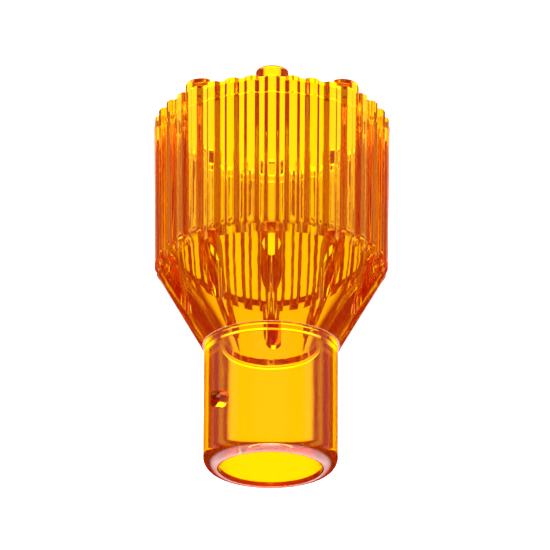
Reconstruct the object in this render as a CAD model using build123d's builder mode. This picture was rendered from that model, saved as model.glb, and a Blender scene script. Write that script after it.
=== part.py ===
"""Amber fluted pole head: a fluted cup with eight rim lugs, a slotted cone and a socket tube.

The part stands on its rim lugs with the open end of the socket tube upwards.
The origin is on the axis, in the plane that the lugs stand on.
"""

from build123d import *
from math import hypot, pi
import os

# Heights along the axis, in millimetres
lug_height = 3.4
cup_height = 40.0
cone_height = 21.2
tube_length = 32.65

# Fluted cup: radius over the ribs at the rim, and how much it draws in towards the cone
cup_rim_radius = 30.6
cup_draw = 0.95
cup_wall = 5.2
rabbet_width = 1.0
rabbet_depth = 3.2

# Grooves between the ribs, their widths as shares of the pitch round the cup
flute_count = 36
flute_depth = 1.05
flute_top_share = 0.60
flute_floor_share = 0.27

# Lugs on the rim, their outer faces a skin's thickness inside the groove floors
lug_count = 8
lug_radius = 4.2
lug_skin = 0.15
lug_edge = 0.5

# Cone and its slots, which stay a skin's thickness inside the groove floors
cone_wall = 5.0
slot_count = 10
slot_width = 5.1
slot_length = 7.4
slot_skin = 0.25
slot_overrun = 0.8

# Socket tube, bored for the pole
bore_radius = 12.8
tube_wall = 4.15
tube_draw = 0.2
mouth_flat = 0.15
mouth_inner_round = 0.5

# Head around the socket: ledge outside the tube, stop for the pole and pilot ring inside it
ledge_width = 0.5
stop_step = 0.5
pilot_wall = 2.5
pilot_height = 1.0

# Key that stops the tube turning in the head
key_width = 3.4
key_length = 6.3
key_angle = -92.6

# Cross hole near the mouth, for a locking pin or a clamping screw
pin_hole_radius = 2.2
pin_hole_from_mouth = 15.2
pin_hole_angle = -35.0

# Clearances
joint_clearance = 0.05
key_clearance = 0.05

# Levels worked out from the heights
rim_z = lug_height
cone_z = rim_z + cup_height
joint_z = cone_z + cone_height
mouth_z = joint_z + tube_length

# Radii worked out from the rim, the pole bore and the walls
cup_root_radius = cup_rim_radius - cup_draw
cup_bore_radius = cup_rim_radius - cup_wall
rabbet_radius = cup_bore_radius + rabbet_width
tube_root_radius = bore_radius + tube_wall
tube_mouth_radius = tube_root_radius - tube_draw
mouth_outer_round = tube_mouth_radius - bore_radius - mouth_flat - mouth_inner_round
cone_end_radius = tube_root_radius + ledge_width
throat_radius = bore_radius - stop_step
pilot_radius = throat_radius + pilot_wall
lug_centre_radius = cup_rim_radius - flute_depth - lug_skin - lug_radius
slot_centre_radius = cup_root_radius - flute_depth - slot_skin - slot_length / 2

# Cone slope, and the inner cone that runs parallel to the outer one
cone_slope = (cup_root_radius - cone_end_radius) / cone_height
inner_offset = cone_wall * hypot(1.0, cone_slope)
inner_top_z = cone_z + (cup_root_radius - inner_offset - throat_radius) / cone_slope
inner_base_z = cone_z - (cup_bore_radius - cup_root_radius + inner_offset) / cone_slope
cup_draft = cup_draw / cup_height

# Groove widths at the rim
flute_pitch = 2 * pi * cup_rim_radius / flute_count
flute_top_width = flute_top_share * flute_pitch
flute_floor_width = flute_floor_share * flute_pitch
flute_flare = (flute_top_width - flute_floor_width) / 2 / flute_depth


def cup_radius(z):
    """Radius over the ribs at a height on the cup."""
    return cup_rim_radius - cup_draft * (z - rim_z)


os.makedirs("parts", exist_ok=True)

# One groove between two ribs, as a tapered bar that is cut out of the cup
groove_proud = 1.0
groove_low_z = rim_z - 1.0
groove_high_z = cone_z + flute_depth / cone_slope + 1.0
with BuildPart() as groove:
    for level in (groove_low_z, groove_high_z):
        with BuildSketch(Plane.XY.offset(level)):
            floor_x = cup_radius(level) - flute_depth
            open_x = cup_radius(level) + groove_proud
            open_half = flute_floor_width / 2 + flute_flare * (flute_depth + groove_proud)
            Polygon(
                (floor_x, -flute_floor_width / 2),
                (open_x, -open_half),
                (open_x, open_half),
                (floor_x, flute_floor_width / 2),
                align=None,
            )
    loft(ruled=True)

# Head: fluted cup, cone, throat and pilot in one moulding
with BuildPart() as fluted_head:
    with BuildSketch(Plane.XZ):
        with BuildLine():
            Polyline(
                (rabbet_radius, rim_z),
                (cup_rim_radius, rim_z),
                (cup_root_radius, cone_z),
                (cone_end_radius, joint_z),
                (pilot_radius, joint_z),
                (pilot_radius, joint_z + pilot_height),
                (throat_radius, joint_z + pilot_height),
                (throat_radius, inner_top_z),
                (cup_bore_radius, inner_base_z),
                (cup_bore_radius, rim_z + rabbet_depth),
                (rabbet_radius, rim_z + rabbet_depth),
                close=True,
            )
        make_face()
    revolve(axis=Axis.Z)
    half_pitch = 180 / flute_count
    with PolarLocations(0, flute_count, start_angle=half_pitch):
        add(groove.part, mode=Mode.SUBTRACT)
    slot_base_z = cone_z - slot_overrun
    with BuildSketch(Plane.XY.offset(slot_base_z)):
        with PolarLocations(slot_centre_radius, slot_count, start_angle=-90):
            SlotOverall(slot_length, slot_width)
    extrude(amount=joint_z - slot_base_z, mode=Mode.SUBTRACT)
    with BuildSketch(Plane.XY):
        with PolarLocations(lug_centre_radius, lug_count, start_angle=-90):
            Circle(lug_radius)
        Circle(rabbet_radius, mode=Mode.SUBTRACT)
    extrude(amount=rim_z + rabbet_depth / 2)
    lug_feet = fluted_head.faces().sort_by(Axis.Z)[:lug_count]
    fillet(lug_feet.edges(), radius=lug_edge)
fluted_head.part.label = "fluted_head"


def wall_profile(gap):
    """Half section of the tube wall, drawn back by a gap from the pilot ring and the bore."""
    step_radius = pilot_radius + joint_clearance + gap
    step_z = joint_z + pilot_height + joint_clearance + gap
    Polyline(
        (bore_radius + gap, mouth_z),
        (bore_radius + gap, step_z),
        (step_radius, step_z),
        (step_radius, joint_z),
        (tube_root_radius - gap, joint_z),
        (tube_mouth_radius - gap, mouth_z),
        close=True,
    )


def notch_outline(gap):
    """Round-ended key outline, drawn back by a gap, open towards the head."""
    half = key_width / 2 - gap
    round_z = joint_z + key_length - key_width / 2
    with Locations((0, round_z)):
        Circle(half)
    with Locations((0, (joint_z + round_z) / 2)):
        Rectangle(2 * half, round_z - joint_z)


key_plane = Plane.XZ.rotated((0, 0, key_angle + 90))
pin_plane = Plane.XZ.rotated((0, 0, pin_hole_angle + 90))
outside = tube_root_radius + 1.0

# Socket tube: counterbored for the pilot ring, with a notch for the key and a cross hole
with BuildPart() as socket_tube:
    with BuildSketch(Plane.XZ):
        with BuildLine():
            wall_profile(0)
        make_face()
    revolve(axis=Axis.Z)
    mouth_edges = socket_tube.faces().sort_by(Axis.Z)[-1].edges().sort_by(SortBy.LENGTH)
    fillet(mouth_edges[-1], radius=mouth_outer_round)
    mouth_edges = socket_tube.faces().sort_by(Axis.Z)[-1].edges().sort_by(SortBy.LENGTH)
    fillet(mouth_edges[0], radius=mouth_inner_round)
    with BuildSketch(key_plane):
        notch_outline(0)
    extrude(amount=outside, mode=Mode.SUBTRACT)
    with BuildSketch(pin_plane):
        with Locations((0, mouth_z - pin_hole_from_mouth)):
            Circle(pin_hole_radius)
    extrude(amount=outside, mode=Mode.SUBTRACT)
socket_tube.part.label = "socket_tube"

# Locating key: fills the notch in the tube wall and butts against the head
with BuildPart() as locating_key:
    with BuildSketch(Plane.XZ):
        with BuildLine():
            wall_profile(key_clearance)
        make_face()
    revolve(axis=Axis.Z)
    with BuildSketch(key_plane):
        notch_outline(key_clearance)
    extrude(amount=outside, mode=Mode.INTERSECT)
locating_key.part.label = "locating_key"

export_step(fluted_head.part, "parts/fluted_head.step")
export_step(socket_tube.part, "parts/socket_tube.step")
export_step(locating_key.part, "parts/locating_key.step")
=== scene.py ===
"""Looks of the amber fluted pole head: a fluted cup and cone, a socket tube and a locating key.

The pieces are clear amber mouldings.  Each one is modelled here at the size and place that the
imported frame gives, and takes the place of one of the frame's nodes.
"""
import math
from types import SimpleNamespace

import bmesh
import bpy
from mathutils import Matrix, Vector


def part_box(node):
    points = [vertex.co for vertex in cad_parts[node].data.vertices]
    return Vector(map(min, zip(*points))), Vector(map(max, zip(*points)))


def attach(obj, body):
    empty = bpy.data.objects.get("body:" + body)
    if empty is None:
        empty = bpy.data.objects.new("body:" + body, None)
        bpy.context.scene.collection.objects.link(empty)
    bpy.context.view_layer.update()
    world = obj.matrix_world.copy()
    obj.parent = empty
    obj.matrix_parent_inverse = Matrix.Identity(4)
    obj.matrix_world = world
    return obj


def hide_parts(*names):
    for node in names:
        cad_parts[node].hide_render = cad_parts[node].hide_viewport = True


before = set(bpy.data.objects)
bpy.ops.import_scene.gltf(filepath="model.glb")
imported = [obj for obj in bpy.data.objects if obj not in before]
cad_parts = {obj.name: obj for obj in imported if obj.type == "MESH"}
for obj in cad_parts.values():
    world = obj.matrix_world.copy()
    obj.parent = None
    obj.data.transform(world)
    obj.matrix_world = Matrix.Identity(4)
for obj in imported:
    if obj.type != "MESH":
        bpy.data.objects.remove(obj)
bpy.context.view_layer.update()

bl_info = {
    "name": "Amber fluted pole head",
    "version": (1, 0, 0),
    "blender": (4, 5, 0),
    "location": "View3D > Sidebar > Pole Head",
    "description": "Models the clear amber mouldings of a fluted pole head and their studio",
    "category": "Object",
}

HEAD_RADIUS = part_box("fluted_head")[1].x
TUBE_FOOT, TUBE_MOUTH = (corner.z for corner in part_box("socket_tube"))

TOUCH = 1e-6  # points closer than this are one point
SMOOTH_ANGLE = math.radians(35.0)  # edges that turn further than this stay sharp

# The cup wall has this many steps for each flute.  The shares give the depth of a groove at each
# step away from its middle, and the steps after the last share belong to the rib.
FLUTE_STEPS = 24
FLUTE_SHARES = (1.0, 1.0, 1.0, 0.98, 0.82, 0.57, 0.31, 0.09, 0.015)

TUBE_SEGMENTS = 360
BAR_SEGMENTS = 64
LUG_SEGMENTS = 96

# Cutting tools start and end clear of the surfaces that they cut.
LUG_CLEARANCE = 2e-5
INSIDE_LOW, INSIDE_RISE = -0.001, 0.02
SLOT_PAST_JOINT = 0.002
KEY_START, KEY_REACH, KEY_BELOW_FOOT = 0.008, 0.012, 0.001
DRILL_PAST_WALL = 0.0015

# The studio's screens: the way each one lies, the angles from there at which it starts and has
# finished fading, in degrees, and the property that holds its brightness.
SCREENS = (
    ((0.0, 0.906, -0.423), 14.0, 21.0, "backdrop_strength"),
    ((0.0, -0.94, -0.342), 24.0, 33.0, "front_strength"),
    ((0.94, 0.0, -0.342), 24.0, 33.0, "side_strength"),
    ((-0.94, 0.0, -0.342), 24.0, 33.0, "side_strength"),
    ((0.0, 0.35, 0.937), 42.0, 58.0, "ceiling_strength"),
)


# ---------------------------------------------------------------- kinds of property


def length(name, description, default):
    """A length in metres."""
    return bpy.props.FloatProperty(
        name=name, description=description, default=default, min=0.0, precision=5, unit="LENGTH"
    )


def point(name, description, default):
    """A point in metres."""
    return bpy.props.FloatVectorProperty(
        name=name, description=description, default=default, size=3, unit="LENGTH",
        subtype="TRANSLATION",
    )


def angle(name, description, radians):
    """An angle, given in radians and shown in degrees."""
    return bpy.props.FloatProperty(
        name=name, description=description, default=radians, unit="ROTATION"
    )


def plain_number(name, description, default, low=0.0, high=1e6):
    """A plain number."""
    return bpy.props.FloatProperty(
        name=name, description=description, default=default, min=low, max=high
    )


def whole_number(name, description, default, low, high):
    """A whole number."""
    return bpy.props.IntProperty(
        name=name, description=description, default=default, min=low, max=high
    )


def colour(name, description, default):
    """A colour."""
    return bpy.props.FloatVectorProperty(
        name=name, description=description, default=default, size=3, min=0.0, max=1.0,
        subtype="COLOR",
    )


class HeadSizes(bpy.types.PropertyGroup):
    """Sizes of the fluted head: cup, cone, slots, lugs and throat."""

    lug_height: length("Lug height", "Height of the lugs under the cup rim", 0.0034)
    cup_height: length("Cup height", "Height of the fluted cup wall", 0.0400)
    cone_height: length("Cone height", "Height of the cone between cup and tube", 0.0212)
    rim_radius: length("Rim radius", "Radius over the ribs at the cup rim", HEAD_RADIUS)
    root_radius: length("Root radius", "Radius over the ribs where the cone starts", 0.02965)
    bore_radius: length("Cup bore radius", "Radius of the plain bore of the cup", 0.0254)
    flute_count: whole_number("Flutes", "Number of grooves round the cup", 36, 8, 72)
    flute_depth: length("Flute depth", "Depth of a groove between two ribs", 0.00105)
    rabbet_radius: length("Rabbet radius", "Radius of the step inside the cup rim", 0.0264)
    rabbet_depth: length("Rabbet depth", "Depth of the step inside the cup rim", 0.0032)
    lug_count: whole_number("Lugs", "Number of lugs under the cup rim", 8, 2, 16)
    lug_radius: length("Lug radius", "Radius of a lug seen from below", 0.0042)
    lug_setback: length("Lug setback", "Distance from the ribs in to the face of a lug", 0.0012)
    lug_edge: length("Lug edge", "Rounding of the lug feet", 0.0005)
    cone_end_radius: length("Cone end radius", "Radius of the ledge round the tube", 0.01745)
    cone_wall: length("Cone wall", "Thickness of the cone, measured square to it", 0.0050)
    slot_count: whole_number("Slots", "Number of slots round the cone", 10, 2, 20)
    slot_width: length("Slot width", "Width of a slot across the cone", 0.0051)
    slot_length: length("Slot length", "Length of a slot over its round ends", 0.0074)
    slot_centre: length("Slot centre", "Distance of a slot from the axis", 0.02465)
    slot_overrun: length("Slot overrun", "Depth of a slot below the foot of the cone", 0.0008)
    throat_radius: length("Throat radius", "Radius of the hole from the cup into the tube", 0.0123)
    pilot_radius: length("Pilot radius", "Radius of the ring that centres the tube", 0.0148)
    pilot_height: length("Pilot height", "Height of the ring that centres the tube", 0.0010)
    ledge_edge: length("Ledge edge", "Rounding of the ledge round the tube", 0.0002)
    throat_edge: length("Throat edge", "Rounding between the throat and the inner cone", 0.0003)
    bore_edge: length("Bore edge", "Rounding between the cup bore and the inner cone", 0.0008)


class TubeSizes(bpy.types.PropertyGroup):
    """Sizes of the socket tube, its cross hole and its key."""

    bore_radius: length("Bore radius", "Radius of the pole socket", 0.0128)
    root_radius: length("Root radius", "Outer radius at the foot of the tube", 0.01695)
    mouth_radius: length("Mouth radius", "Outer radius at the mouth of the tube", 0.01675)
    mouth_outer_edge: length("Outer mouth edge", "Rounding of the outer mouth edge", 0.0033)
    mouth_inner_edge: length("Inner mouth edge", "Rounding of the inner mouth edge", 0.0005)
    joint_gap: length("Joint gap", "Clearance between the tube and the pilot ring", 0.00005)
    seat_gap: length("Seat gap", "Film of air between the ledge and the tube", 0.00002)
    hole_radius: length("Cross hole radius", "Radius of the cross hole", 0.0022)
    hole_waist: plain_number(
        "Cross hole waist", "Radius on a ridge, as a share of the hole radius", 0.93, 0.5, 1.0
    )
    hole_turns: whole_number("Cross hole ridges", "Number of ridges along the cross hole", 7, 1, 20)
    hole_drop: length("Cross hole drop", "Distance of the cross hole from the mouth", 0.0152)
    hole_angle: angle(
        "Cross hole angle", "Direction of the cross hole round the axis", math.radians(-35.0)
    )
    key_width: length("Key width", "Width of the locating key", 0.0034)
    key_length: length("Key length", "Length of the locating key, with its round end", 0.0063)
    key_gap: length("Key gap", "Clearance round the locating key", 0.00005)
    key_angle: angle(
        "Key angle", "Direction of the locating key round the axis", math.radians(-92.6)
    )


class AmberFinish(bpy.types.PropertyGroup):
    """Colour and surface of the clear amber moulding."""

    body_colour: colour("Body colour", "Colour of the surface and its haze", (1.0, 0.94, 0.10))
    key_colour: colour("Key colour", "Deeper colour of the locating key", (1.0, 0.42, 0.04))
    clearness: plain_number("Clearness", "Share of light that passes without haze", 0.988, 0.0, 1.0)
    tint: colour("Tint", "Colour that the amber lets through", (0.9975, 0.966, 0.0))
    density: plain_number("Density", "Strength of the amber tint for each metre", 1150.0)
    ior: plain_number("Index of refraction", "How strongly the amber bends light", 1.585, low=1.0)


class StudioSizes(bpy.types.PropertyGroup):
    """Camera, floor and lights of the studio."""

    camera_place: point("Camera place", "Where the camera stands", (0.0, -0.7021, 0.3443))
    camera_aim: point("Camera aim", "Point that the camera looks at", (-0.00093, 0.0, 0.04487))
    camera_roll: angle(
        "Camera roll", "Turn of the camera about its line of sight", math.radians(180.2194)
    )
    camera_lens: plain_number("Lens", "Focal length in millimetres", 196.7, low=10.0)
    sensor_width: plain_number(
        "Sensor", "Width of the camera's sensor in millimetres", 36.0, low=1.0
    )
    backdrop_strength: plain_number("Backdrop", "Brightness of the screen behind the piece", 1.12)
    side_strength: plain_number("Side screens", "Brightness of the screens at the sides", 0.22)
    front_strength: plain_number(
        "Front screen", "Brightness of the screen behind the camera", 0.066
    )
    ceiling_strength: plain_number("Ceiling", "Brightness of the soft ceiling", 3.4)
    room_strength: plain_number("Room", "Brightness of the room between the screens", 0.41)
    room_colour: colour("Room colour", "Warm colour of the room", (1.0, 0.022, 0.0))
    floor_size: length("Floor size", "Width of the studio floor", 12.0)
    floor_colour: colour("Floor colour", "Colour of the studio floor", (0.93, 0.93, 0.93))
    floor_strength: plain_number("Floor glow", "Brightness of the floor's own light", 1.05)
    softbox_place: point("Softbox place", "Where the overhead softbox hangs", (0.0, -0.25, 0.85))
    softbox_tilt: angle("Softbox tilt", "Turn of the softbox towards the piece", 0.29)
    softbox_size: length("Softbox size", "Width and length of the overhead softbox", 0.3)
    softbox_power: plain_number("Softbox power", "Power of the overhead softbox in watts", 1.5)


# ---------------------------------------------------------------- modelling aids


def start_ring(name, segments, radius, height):
    """Adds a ring of vertices round the axis and opens it in edit mode."""
    bpy.ops.object.select_all(action="DESELECT")
    bpy.ops.mesh.primitive_circle_add(
        vertices=segments, radius=radius, fill_type="NOTHING", location=(0.0, 0.0, height)
    )
    piece = bpy.context.object
    piece.name = name
    piece.data.name = name
    bpy.ops.object.transform_apply(location=True, rotation=True, scale=True)
    bpy.ops.object.mode_set(mode="EDIT")
    bpy.ops.mesh.select_all(action="SELECT")
    return piece


def follow_profile(profile):
    """Extrudes the open ring through the (radius, height) points of a profile."""
    radius, height = profile[0]
    for next_radius, next_height in profile[1:]:
        bpy.ops.mesh.extrude_region_move(
            TRANSFORM_OT_translate={"value": (0.0, 0.0, next_height - height)}
        )
        growth = next_radius / radius
        bpy.ops.transform.resize(
            value=(growth, growth, 1.0), center_override=(0.0, 0.0, next_height)
        )
        radius, height = next_radius, next_height


def close_ring():
    """Bridges the first and last rings, merges doubles and turns the faces outwards."""
    bpy.ops.mesh.select_mode(type="EDGE")
    bpy.ops.mesh.select_all(action="DESELECT")
    bpy.ops.mesh.select_non_manifold(
        extend=False, use_wire=False, use_boundary=True, use_multi_face=False,
        use_non_contiguous=False, use_verts=False,
    )
    bpy.ops.mesh.bridge_edge_loops()
    bpy.ops.mesh.select_all(action="SELECT")
    bpy.ops.mesh.remove_doubles(threshold=TOUCH)
    bpy.ops.mesh.normals_make_consistent(inside=False)


def pick_vertices(piece, wanted):
    """Selects, in edit mode, the vertices whose place passes the test."""
    bpy.ops.mesh.select_mode(type="VERT")
    shape = bmesh.from_edit_mesh(piece.data)
    for vertex in shape.verts:
        vertex.select = bool(wanted(vertex.co))
    shape.select_flush_mode()
    bmesh.update_edit_mesh(piece.data)


def pick_edges(piece, wanted):
    """Selects, in edit mode, the edges whose two ends both pass the test."""
    bpy.ops.mesh.select_mode(type="EDGE")
    shape = bmesh.from_edit_mesh(piece.data)
    for edge in shape.edges:
        edge.select = all(wanted(vertex.co) for vertex in edge.verts)
    shape.select_flush_mode()
    bmesh.update_edit_mesh(piece.data)


def near(place, radius, height, slack=2e-5):
    """True where a point lies on the ring of that radius and height."""
    return abs(math.hypot(place.x, place.y) - radius) < slack and abs(place.z - height) < slack


def ease_ring(piece, radius, height, amount, segments):
    """Rounds the edge that runs round the axis at a radius and height."""
    pick_edges(piece, lambda place: near(place, radius, height))
    bpy.ops.mesh.bevel(offset=amount, offset_type="OFFSET", segments=segments, profile=0.5)


def join_cut(piece, tool, operation):
    """Combines a finished tool with a piece and applies the result."""
    modifier = piece.modifiers.new("Shape", "BOOLEAN")
    modifier.operation = operation
    modifier.solver = "EXACT"
    modifier.object = tool
    bpy.ops.object.select_all(action="DESELECT")
    bpy.context.view_layer.objects.active = piece
    piece.select_set(True)
    bpy.ops.object.modifier_apply(modifier=modifier.name)
    bpy.data.objects.remove(tool)


def round_the_axis(piece, count):
    """Copies a piece evenly round the axis and joins the copies to it."""
    copies = [piece]
    for number in range(1, count):
        turned = piece.copy()
        turned.data = piece.data.copy()
        turned.data.transform(Matrix.Rotation(2 * math.pi * number / count, 4, "Z"))
        bpy.context.scene.collection.objects.link(turned)
        copies.append(turned)
    bpy.ops.object.select_all(action="DESELECT")
    for copy in copies:
        copy.select_set(True)
    bpy.context.view_layer.objects.active = piece
    bpy.ops.object.join()
    return piece


def stadium(name, centre, half_straight, half_width, low, high, segments):
    """A round-ended bar standing on end, long along the radius, over the X axis."""
    bpy.ops.object.select_all(action="DESELECT")
    bpy.ops.mesh.primitive_circle_add(
        vertices=segments, radius=half_width, fill_type="NGON", location=(centre, 0.0, low)
    )
    bar = bpy.context.object
    bar.name = name
    bpy.ops.object.transform_apply(location=True, rotation=True, scale=True)
    bpy.ops.object.mode_set(mode="EDIT")
    if half_straight:
        pick_vertices(bar, lambda place: place.x > centre + TOUCH)
        bpy.ops.transform.translate(value=(half_straight, 0.0, 0.0))
        pick_vertices(bar, lambda place: place.x < centre - TOUCH)
        bpy.ops.transform.translate(value=(-half_straight, 0.0, 0.0))
    bpy.ops.mesh.select_all(action="SELECT")
    bpy.ops.mesh.extrude_region_move(TRANSFORM_OT_translate={"value": (0.0, 0.0, high - low)})
    bpy.ops.mesh.select_all(action="SELECT")
    bpy.ops.mesh.normals_make_consistent(inside=False)
    return bar


def leave_bar(bar, direction):
    """Ends the shaping of a bar and turns it round the axis to its direction."""
    bpy.ops.object.mode_set(mode="OBJECT")
    bar.data.transform(Matrix.Rotation(direction, 4, "Z"))


def finish_piece(piece, node, slot, body_colour):
    """Smooths a piece, gives it its finish and lets it stand for its node."""
    bpy.ops.object.select_all(action="DESELECT")
    bpy.context.view_layer.objects.active = piece
    piece.select_set(True)
    bpy.ops.object.shade_smooth_by_angle(angle=SMOOTH_ANGLE)
    flat_walls = piece.modifiers.new("Flat walls", "WEIGHTED_NORMAL")
    flat_walls.mode = "FACE_AREA"
    flat_walls.weight = 100
    flat_walls.keep_sharp = True
    bpy.ops.object.modifier_apply(modifier=flat_walls.name)
    piece.data.materials.clear()
    piece.data.materials.append(amber_moulding(slot, body_colour))
    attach(piece, "root")
    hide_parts(node)


# ---------------------------------------------------------------- finishes


def amber_moulding(name, body_colour):
    """Clear amber plastic: polished, with a faint flow ripple and a few duller patches."""
    finish = bpy.context.scene.amber_finish
    material = bpy.data.materials.new(name)
    material.use_nodes = True
    nodes = material.node_tree.nodes
    links = material.node_tree.links
    nodes.clear()
    output = nodes.new("ShaderNodeOutputMaterial")
    surface = nodes.new("ShaderNodeBsdfPrincipled")
    surface.inputs["Base Color"].default_value = (*body_colour, 1.0)
    surface.inputs["Transmission Weight"].default_value = finish.clearness
    surface.inputs["IOR"].default_value = finish.ior
    body = nodes.new("ShaderNodeVolumeAbsorption")
    body.inputs["Color"].default_value = (*finish.tint, 1.0)
    body.inputs["Density"].default_value = finish.density
    place = nodes.new("ShaderNodeTexCoord")
    patches = nodes.new("ShaderNodeTexNoise")
    patches.inputs["Scale"].default_value = 90.0
    patches.inputs["Detail"].default_value = 4.0
    polish = nodes.new("ShaderNodeMapRange")
    polish.inputs["From Min"].default_value = 0.35
    polish.inputs["From Max"].default_value = 0.75
    polish.inputs["To Min"].default_value = 0.015
    polish.inputs["To Max"].default_value = 0.06
    ripple = nodes.new("ShaderNodeTexNoise")
    ripple.inputs["Scale"].default_value = 160.0
    ripple.inputs["Detail"].default_value = 2.0
    relief = nodes.new("ShaderNodeBump")
    relief.inputs["Strength"].default_value = 0.12
    relief.inputs["Distance"].default_value = 0.0002
    links.new(place.outputs["Object"], patches.inputs["Vector"])
    links.new(patches.outputs["Fac"], polish.inputs["Value"])
    links.new(polish.outputs["Result"], surface.inputs["Roughness"])
    links.new(place.outputs["Object"], ripple.inputs["Vector"])
    links.new(ripple.outputs["Fac"], relief.inputs["Height"])
    links.new(relief.outputs["Normal"], surface.inputs["Normal"])
    links.new(surface.outputs["BSDF"], output.inputs["Surface"])
    links.new(body.outputs["Volume"], output.inputs["Volume"])
    return material


# ---------------------------------------------------------------- fluted head


def head_levels(size):
    """Heights and slopes of the head that follow from its sizes."""
    rim = size.lug_height
    cone = rim + size.cup_height
    joint = cone + size.cone_height
    slope = (size.root_radius - size.cone_end_radius) / size.cone_height
    inner_offset = size.cone_wall * math.hypot(1.0, slope)
    draft = (size.rim_radius - size.root_radius) / size.cup_height
    return SimpleNamespace(
        rim=rim,
        cone=cone,
        joint=joint,
        slope=slope,
        inner_top=cone + (size.root_radius - inner_offset - size.throat_radius) / slope,
        inner_base=cone - (size.bore_radius - size.root_radius + inner_offset) / slope,
        runout=size.flute_depth / (slope - draft),
    )


def head_wall(size, level):
    """The plain cup, cone and throat, left in edit mode for the flutes."""
    head = start_ring("amber_head", size.flute_count * FLUTE_STEPS, size.rim_radius, level.rim)
    follow_profile([
        (size.rim_radius, level.rim),
        (size.root_radius, level.cone),
        (size.root_radius - level.slope * level.runout, level.cone + level.runout),
        (size.cone_end_radius, level.joint),
        (size.pilot_radius, level.joint),
        (size.pilot_radius, level.joint + size.pilot_height),
        (size.throat_radius, level.joint + size.pilot_height),
        (size.throat_radius, level.inner_top),
        (size.bore_radius, level.inner_base),
        (size.bore_radius, level.rim + size.rabbet_depth),
        (size.rabbet_radius, level.rim + size.rabbet_depth),
        (size.rabbet_radius, level.rim),
    ])
    close_ring()
    ease_ring(head, size.cone_end_radius, level.joint, size.ledge_edge, segments=3)
    ease_ring(head, size.throat_radius, level.inner_top, size.throat_edge, segments=3)
    ease_ring(head, size.bore_radius, level.inner_base, size.bore_edge, segments=4)
    return head


def press_flutes(head, size, level):
    """Draws the cup wall in to its grooves, which run out on the cone."""
    pitch = 2 * math.pi / size.flute_count

    def groove_step(place):
        """Steps between a point and the middle of its nearest groove."""
        turn = math.atan2(place.y, place.x) / pitch - 0.5
        return round(abs(turn - round(turn)) * FLUTE_STEPS)

    for radius, height in ((size.rim_radius, level.rim), (size.root_radius, level.cone)):
        for step, share in enumerate(FLUTE_SHARES):
            pick_vertices(
                head, lambda place: near(place, radius, height) and groove_step(place) == step
            )
            growth = 1.0 - share * size.flute_depth / radius
            bpy.ops.transform.resize(
                value=(growth, growth, 1.0), center_override=(0.0, 0.0, height)
            )
    for height in (level.cone, level.cone + level.runout):
        pick_edges(head, lambda place: abs(place.z - height) < TOUCH)
        bpy.ops.mesh.mark_sharp()
    bpy.ops.object.mode_set(mode="OBJECT")


def rim_lugs(size, level):
    """The ring of lugs under the rim, kept out of the inside of the cup."""
    centre = size.rim_radius - size.lug_setback - size.lug_radius
    top = level.rim + size.rabbet_depth / 2
    lug = stadium("lug", centre, 0.0, size.lug_radius, 0.0, top, LUG_SEGMENTS)
    pick_edges(lug, lambda place: abs(place.z) < TOUCH)
    bpy.ops.mesh.bevel(offset=size.lug_edge, offset_type="OFFSET", segments=4, profile=0.5)
    leave_bar(lug, -math.pi / 2)
    lugs = round_the_axis(lug, size.lug_count)
    inside = start_ring(
        "inside", size.flute_count * FLUTE_STEPS, size.rabbet_radius + LUG_CLEARANCE, INSIDE_LOW
    )
    bpy.ops.mesh.edge_face_add()
    bpy.ops.mesh.extrude_region_move(TRANSFORM_OT_translate={"value": (0.0, 0.0, INSIDE_RISE)})
    bpy.ops.mesh.select_all(action="SELECT")
    bpy.ops.mesh.normals_make_consistent(inside=False)
    bpy.ops.object.mode_set(mode="OBJECT")
    join_cut(lugs, inside, "DIFFERENCE")
    return lugs


def cone_slots(size, level):
    """The bars that cut the round-ended slots through the cone."""
    half_straight = (size.slot_length - size.slot_width) / 2
    low, high = level.cone - size.slot_overrun, level.joint + SLOT_PAST_JOINT
    slot = stadium(
        "slot", size.slot_centre, half_straight, size.slot_width / 2, low, high, BAR_SEGMENTS
    )
    leave_bar(slot, -math.pi / 2)
    return round_the_axis(slot, size.slot_count)


class POLEHEAD_OT_fluted_head(bpy.types.Operator):
    """Model the fluted cup, cone, throat, lugs and slots as one moulding"""

    bl_idname = "pole_head.fluted_head"
    bl_label = "Fluted Head"

    def execute(self, context):
        size = context.scene.head_sizes
        level = head_levels(size)
        head = head_wall(size, level)
        press_flutes(head, size, level)
        join_cut(head, rim_lugs(size, level), "UNION")
        join_cut(head, cone_slots(size, level), "DIFFERENCE")
        finish_piece(head, "fluted_head", "amber_head", context.scene.amber_finish.body_colour)
        return {"FINISHED"}


# ---------------------------------------------------------------- tube and key


def tube_wall(name, size, head, gap):
    """The tube wall, left in edit mode, drawn back by a gap except at its seat and mouth."""
    step_height = TUBE_FOOT + head.pilot_height + size.joint_gap + gap
    step_radius = head.pilot_radius + size.joint_gap + gap
    seat = TUBE_FOOT + size.seat_gap
    wall = start_ring(name, TUBE_SEGMENTS, size.root_radius - gap, seat)
    follow_profile([
        (size.root_radius - gap, seat),
        (size.mouth_radius - gap, TUBE_MOUTH),
        (size.bore_radius + gap, TUBE_MOUTH),
        (size.bore_radius + gap, step_height),
        (step_radius, step_height),
        (step_radius, seat),
    ])
    close_ring()
    return wall


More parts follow.
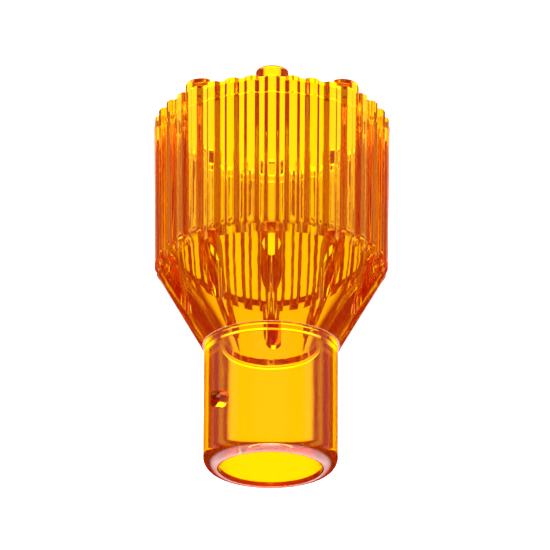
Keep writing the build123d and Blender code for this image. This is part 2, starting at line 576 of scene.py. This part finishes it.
def key_outline(size, gap):
    """A bar through the tube wall with the round-ended outline of the key."""
    half = size.key_width / 2 - gap
    round_height = TUBE_FOOT + size.key_length - size.key_width / 2
    bpy.ops.object.select_all(action="DESELECT")
    bpy.ops.mesh.primitive_circle_add(
        vertices=BAR_SEGMENTS, radius=half, fill_type="NGON",
        location=(KEY_START, 0.0, round_height), rotation=(0.0, math.pi / 2, 0.0),
    )
    bar = bpy.context.object
    bar.name = "key_outline"
    bpy.ops.object.transform_apply(location=True, rotation=True, scale=True)
    bpy.ops.object.mode_set(mode="EDIT")
    pick_vertices(bar, lambda place: place.z < round_height - TOUCH)
    bpy.ops.transform.resize(value=(1.0, 1.0, 0.0), center_override=(0.0, 0.0, round_height))
    bpy.ops.transform.translate(value=(0.0, 0.0, TUBE_FOOT - KEY_BELOW_FOOT - round_height))
    bpy.ops.mesh.select_all(action="SELECT")
    bpy.ops.mesh.extrude_region_move(TRANSFORM_OT_translate={"value": (KEY_REACH, 0.0, 0.0)})
    bpy.ops.mesh.select_all(action="SELECT")
    bpy.ops.mesh.remove_doubles(threshold=TOUCH)
    bpy.ops.mesh.normals_make_consistent(inside=False)
    leave_bar(bar, size.key_angle)
    return bar


def ridged_drill(size):
    """A ridged bar that cuts the cross hole, lying square to the axis."""
    rings = 2 * size.hole_turns
    start, end = size.bore_radius - DRILL_PAST_WALL, size.root_radius + DRILL_PAST_WALL
    profile = []
    for ring in range(rings + 1):
        radius = size.hole_radius * (1.0 if ring % 2 else size.hole_waist)
        profile.append((radius, start + (end - start) * ring / rings))
    drill = start_ring("cross_hole", BAR_SEGMENTS, profile[0][0], profile[0][1])
    bpy.ops.mesh.edge_face_add()
    bpy.ops.mesh.select_all(action="SELECT")
    follow_profile(profile)
    bpy.ops.mesh.select_all(action="SELECT")
    bpy.ops.mesh.normals_make_consistent(inside=False)
    bpy.ops.object.mode_set(mode="OBJECT")
    drill.data.transform(Matrix.Rotation(math.pi / 2, 4, "Y"))
    drill.data.transform(Matrix.Translation((0.0, 0.0, TUBE_MOUTH - size.hole_drop)))
    drill.data.transform(Matrix.Rotation(size.hole_angle, 4, "Z"))
    return drill


class POLEHEAD_OT_socket_tube(bpy.types.Operator):
    """Model the socket tube with its rounded mouth, key notch and cross hole"""

    bl_idname = "pole_head.socket_tube"
    bl_label = "Socket Tube"

    def execute(self, context):
        size = context.scene.tube_sizes
        tube = tube_wall("amber_tube", size, context.scene.head_sizes, gap=0.0)
        ease_ring(tube, size.mouth_radius, TUBE_MOUTH, size.mouth_outer_edge, segments=14)
        ease_ring(tube, size.bore_radius, TUBE_MOUTH, size.mouth_inner_edge, segments=5)
        bpy.ops.object.mode_set(mode="OBJECT")
        join_cut(tube, key_outline(size, gap=0.0), "DIFFERENCE")
        join_cut(tube, ridged_drill(size), "DIFFERENCE")
        finish_piece(tube, "socket_tube", "amber_tube", context.scene.amber_finish.body_colour)
        return {"FINISHED"}


class POLEHEAD_OT_locating_key(bpy.types.Operator):
    """Model the locating key that fills the notch in the tube wall"""

    bl_idname = "pole_head.locating_key"
    bl_label = "Locating Key"

    def execute(self, context):
        size = context.scene.tube_sizes
        key = tube_wall("amber_key", size, context.scene.head_sizes, gap=size.key_gap)
        bpy.ops.object.mode_set(mode="OBJECT")
        join_cut(key, key_outline(size, gap=size.key_gap), "INTERSECT")
        finish_piece(key, "locating_key", "amber_key", context.scene.amber_finish.key_colour)
        return {"FINISHED"}


# ---------------------------------------------------------------- studio


def lay_floor(size):
    """A pale floor that glows a little and stays out of the amber's reflections."""
    bpy.ops.object.select_all(action="DESELECT")
    bpy.ops.mesh.primitive_plane_add(size=size.floor_size, location=(0.0, 0.0, 0.0))
    floor = bpy.context.object
    floor.name = "studio_floor"
    material = bpy.data.materials.new("studio_floor")
    material.use_nodes = True
    surface = material.node_tree.nodes["Principled BSDF"]
    surface.inputs["Base Color"].default_value = (*size.floor_colour, 1.0)
    surface.inputs["Roughness"].default_value = 0.9
    surface.inputs["Emission Color"].default_value = (1.0, 1.0, 1.0, 1.0)
    surface.inputs["Emission Strength"].default_value = size.floor_strength
    floor.data.materials.append(material)
    floor.visible_glossy = False
    floor.visible_transmission = False


def soft_screen(nodes, links, around, towards, inner, outer, strength):
    """The glow of one screen: full near its middle, fading to nothing at its edge."""
    facing = nodes.new("ShaderNodeVectorMath")
    facing.operation = "DOT_PRODUCT"
    facing.inputs[1].default_value = towards
    screen = nodes.new("ShaderNodeMapRange")
    screen.interpolation_type = "SMOOTHSTEP"
    screen.inputs["From Min"].default_value = math.cos(math.radians(outer))
    screen.inputs["From Max"].default_value = math.cos(math.radians(inner))
    screen.inputs["To Max"].default_value = strength
    links.new(around.outputs["Generated"], facing.inputs[0])
    links.new(facing.outputs["Value"], screen.inputs["Value"])
    return screen.outputs["Result"]


def light_room(size):
    """White screens round the piece, with a dim warm room between them."""
    world = bpy.data.worlds.new("studio_light")
    world.use_nodes = True
    nodes = world.node_tree.nodes
    links = world.node_tree.links
    screens = nodes["Background"]
    screens.inputs["Color"].default_value = (1.0, 1.0, 1.0, 1.0)
    around = nodes.new("ShaderNodeTexCoord")
    glow = None
    for towards, inner, outer, strength in SCREENS:
        screen = soft_screen(
            nodes, links, around, towards, inner, outer, getattr(size, strength)
        )
        if glow is None:
            glow = screen
        else:
            both = nodes.new("ShaderNodeMath")
            both.operation = "ADD"
            links.new(glow, both.inputs[0])
            links.new(screen, both.inputs[1])
            glow = both.outputs["Value"]
    links.new(glow, screens.inputs["Strength"])
    room = nodes.new("ShaderNodeBackground")
    room.inputs["Color"].default_value = (*size.room_colour, 1.0)
    room.inputs["Strength"].default_value = size.room_strength
    together = nodes.new("ShaderNodeAddShader")
    links.new(screens.outputs["Background"], together.inputs[0])
    links.new(room.outputs["Background"], together.inputs[1])
    links.new(together.outputs["Shader"], nodes["World Output"].inputs["Surface"])
    bpy.context.scene.world = world


def hang_softbox(size):
    """A square softbox over the piece."""
    light_data = bpy.data.lights.new("overhead_softbox", "AREA")
    light_data.shape = "RECTANGLE"
    light_data.size = size.softbox_size
    light_data.size_y = size.softbox_size
    light_data.energy = size.softbox_power
    light = bpy.data.objects.new("overhead_softbox", light_data)
    light.location = size.softbox_place
    light.rotation_euler = (size.softbox_tilt, 0.0, 0.0)
    bpy.context.scene.collection.objects.link(light)


def place_camera(size):
    """The scene's camera, aimed at the middle of the piece."""
    stand = Vector(size.camera_place)
    sight = (Vector(size.camera_aim) - stand).to_track_quat("-Z", "Y").to_matrix().to_4x4()
    camera_data = bpy.data.cameras.new("camera")
    camera_data.lens = size.camera_lens
    camera_data.sensor_width = size.sensor_width
    camera_data.clip_start = 0.01
    camera_data.clip_end = 50.0
    camera = bpy.data.objects.new("camera", camera_data)
    camera.matrix_world = (
        Matrix.Translation(stand) @ sight @ Matrix.Rotation(size.camera_roll, 4, "Z")
    )
    bpy.context.scene.collection.objects.link(camera)
    bpy.context.scene.camera = camera


class POLEHEAD_OT_studio(bpy.types.Operator):
    """Set up the floor, the soft lights and the camera"""

    bl_idname = "pole_head.studio"
    bl_label = "Studio"

    def execute(self, context):
        scene = context.scene
        size = scene.studio_sizes
        lay_floor(size)
        light_room(size)
        hang_softbox(size)
        place_camera(size)
        scene.view_settings.view_transform = "Standard"
        scene.cycles.max_bounces = 64
        scene.cycles.transmission_bounces = 60
        scene.cycles.glossy_bounces = 32
        return {"FINISHED"}


# ---------------------------------------------------------------- panel and registration


class POLEHEAD_PT_panel(bpy.types.Panel):
    """Buttons that model each piece of the pole head"""

    bl_label = "Pole Head"
    bl_idname = "POLEHEAD_PT_panel"
    bl_space_type = "VIEW_3D"
    bl_region_type = "UI"
    bl_category = "Pole Head"

    def draw(self, context):
        for operator in OPERATORS:
            self.layout.operator(operator.bl_idname)


OPERATORS = (
    POLEHEAD_OT_studio,
    POLEHEAD_OT_fluted_head,
    POLEHEAD_OT_socket_tube,
    POLEHEAD_OT_locating_key,
)
GROUPS = {
    "head_sizes": HeadSizes,
    "tube_sizes": TubeSizes,
    "amber_finish": AmberFinish,
    "studio_sizes": StudioSizes,
}


def register():
    """Registers the sizes, the operators and the panel."""
    for name, group in GROUPS.items():
        bpy.utils.register_class(group)
        setattr(bpy.types.Scene, name, bpy.props.PointerProperty(type=group))
    for operator in OPERATORS:
        bpy.utils.register_class(operator)
    bpy.utils.register_class(POLEHEAD_PT_panel)


def unregister():
    """Removes what register added."""
    bpy.utils.unregister_class(POLEHEAD_PT_panel)
    for operator in reversed(OPERATORS):
        bpy.utils.unregister_class(operator)
    for name, group in GROUPS.items():
        delattr(bpy.types.Scene, name)
        bpy.utils.unregister_class(group)


def main():
    """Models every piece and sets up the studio."""
    register()
    bpy.ops.pole_head.studio()
    bpy.ops.pole_head.fluted_head()
    bpy.ops.pole_head.socket_tube()
    bpy.ops.pole_head.locating_key()


if __name__ == "__main__":
    main()
